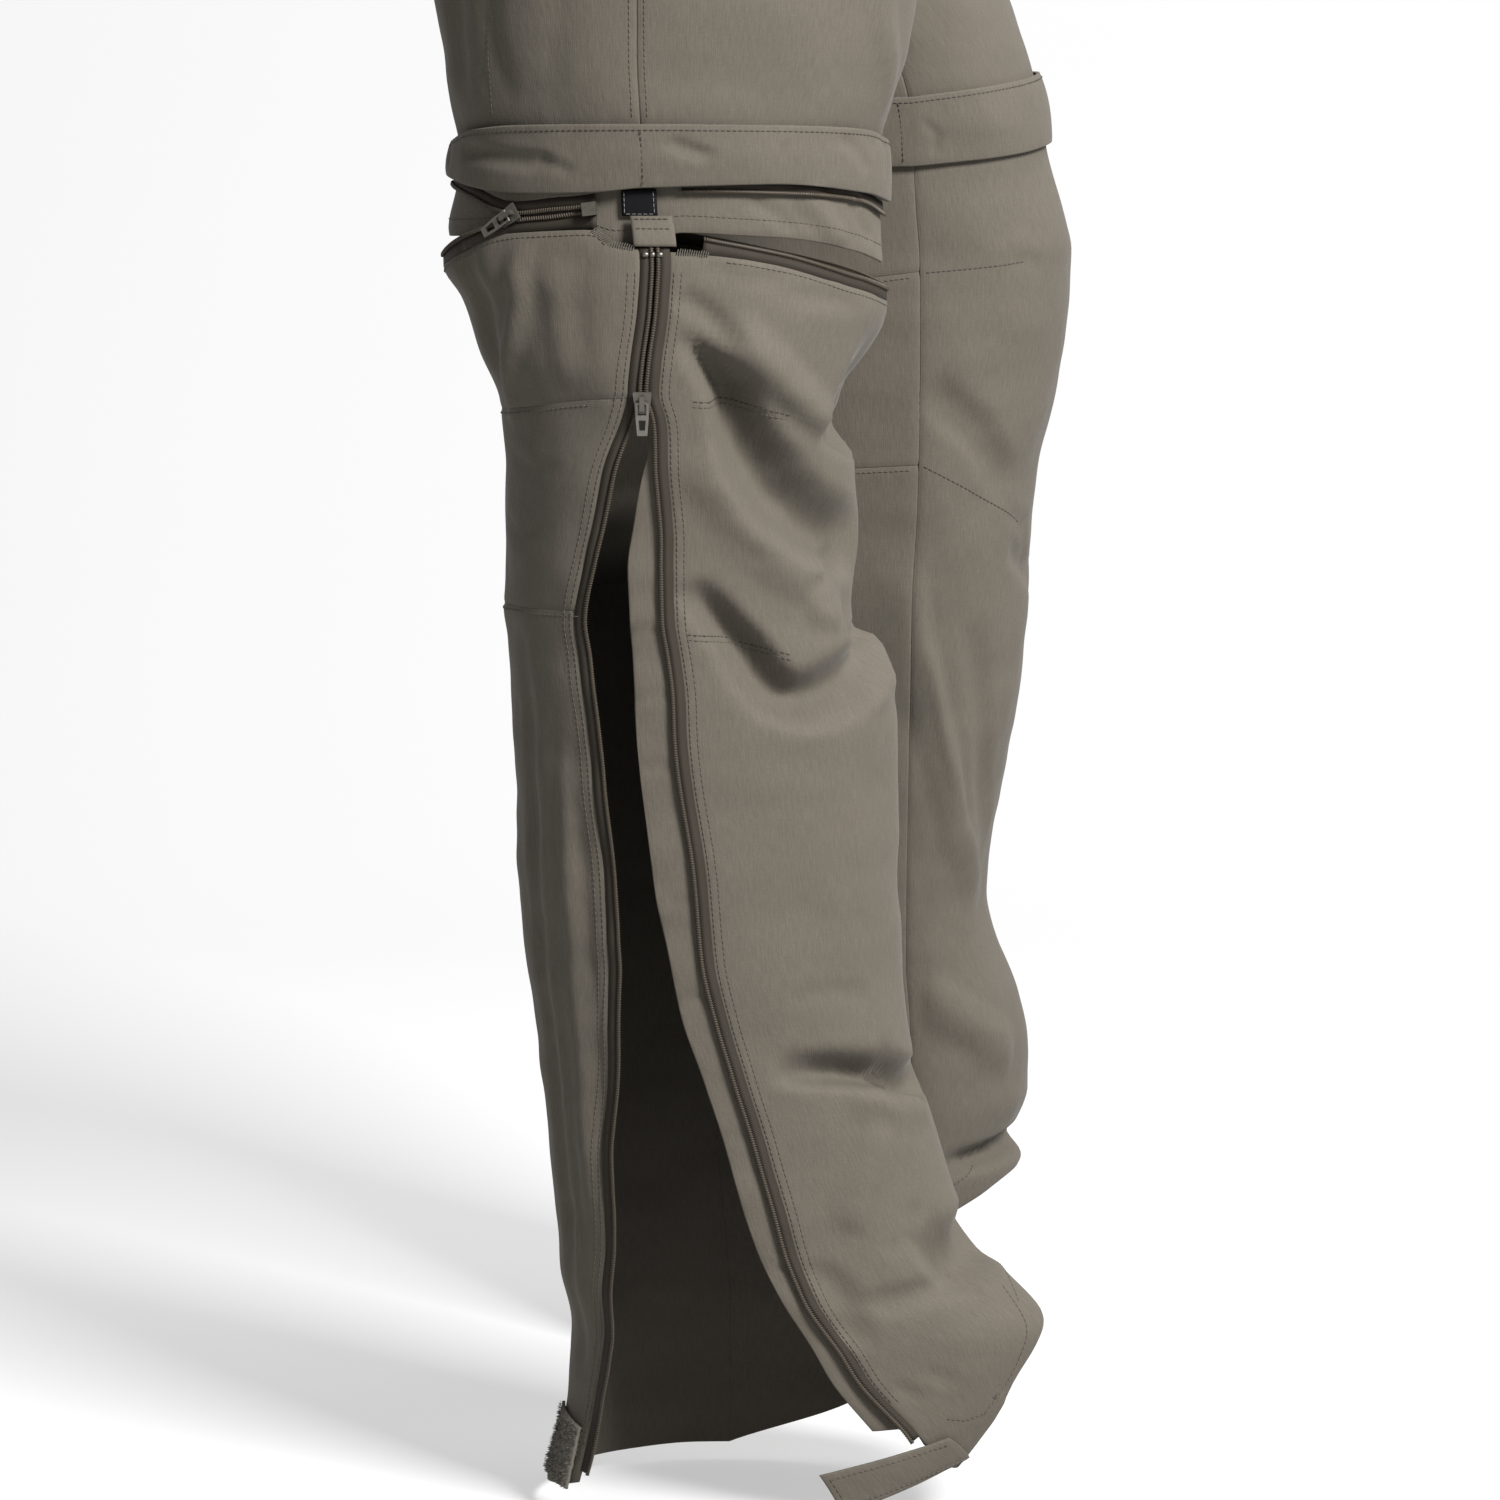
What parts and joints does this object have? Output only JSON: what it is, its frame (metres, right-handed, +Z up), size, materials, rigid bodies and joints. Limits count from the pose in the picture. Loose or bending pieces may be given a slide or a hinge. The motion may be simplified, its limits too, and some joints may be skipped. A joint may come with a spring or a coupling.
{
  "type": "zip-off trousers",
  "caption": "Zip-off hiking trousers, worn: right knee zip and side zip run open, flap above, left leg closed, hollow waist and legs.",
  "frame": {"origin": "middle of the waist opening, at the waistband's top edge", "axes": "+Z up, the front faces -Y, the wearer's left is +X"},
  "size_m": [0.4074, 0.3349, 1.0425],
  "materials": {
    "cloth": "matte",
    "zip": "satin",
    "metal": "satin",
    "black": "matte",
    "fuzz": "matte",
    "button": "satin"
  },
  "bodies": {
    "trousers": {"front_right": "cloth", "back_right": "cloth", "front_left": "cloth", "back_left": "cloth", "waistband": "cloth", "fly_flap": "cloth", "hem_guard_right": "cloth", "cuff_flap_right": "cloth", "cuff_flap_left": "cloth", "lower_front_right": "cloth", "lower_back_top_right": "cloth", "lower_back_knee_right": "cloth", "lower_back_bottom_right": "cloth", "placket_right": "cloth", "top_tab_right": "cloth", "hem_tab_right": "cloth", "lower_front_left": "cloth", "lower_back_top_left": "cloth", "lower_back_knee_left": "cloth", "lower_back_bottom_left": "cloth", "hem_tab_left": "cloth", "knee_zip_upper_right": "zip", "knee_zip_lower_right": "zip", "side_zip_front_right": "zip", "side_zip_back_right": "zip", "knee_zip_left": "zip", "side_zip_left": "zip", "knee_slider_right": "metal", "knee_zip_box_right": "metal", "side_slider_right": "metal", "side_slider_left": "metal", "black_tab_right": "black", "loop_patch_right": "fuzz", "waist_button": "button"},
    "knee_pull_right": {"knee_pull_right": "metal"},
    "side_pull_right": {"side_pull_right": "metal"},
    "side_pull_left": {"side_pull_left": "metal"}
  },
  "joints": [
    {"name": "knee_pull_right_hinge", "type": "hinge", "parent": "trousers", "child": "knee_pull_right", "pos_m": [-0.16226, 0.0868, -0.44015], "axis": [0.4027, 0.4312, 0.8074], "range_deg": [0, 150]},
    {"name": "side_pull_right_hinge", "type": "hinge", "parent": "trousers", "child": "side_pull_right", "pos_m": [-0.1884, 0.02487, -0.52322], "axis": [0.0287, 0.9996, 0], "range_deg": [0, 150]},
    {"name": "side_pull_left_hinge", "type": "hinge", "parent": "trousers", "child": "side_pull_left", "pos_m": [0.20292, -0.04259, -0.98387], "axis": [0, -1, 0], "range_deg": [0, 150]}
  ]
}
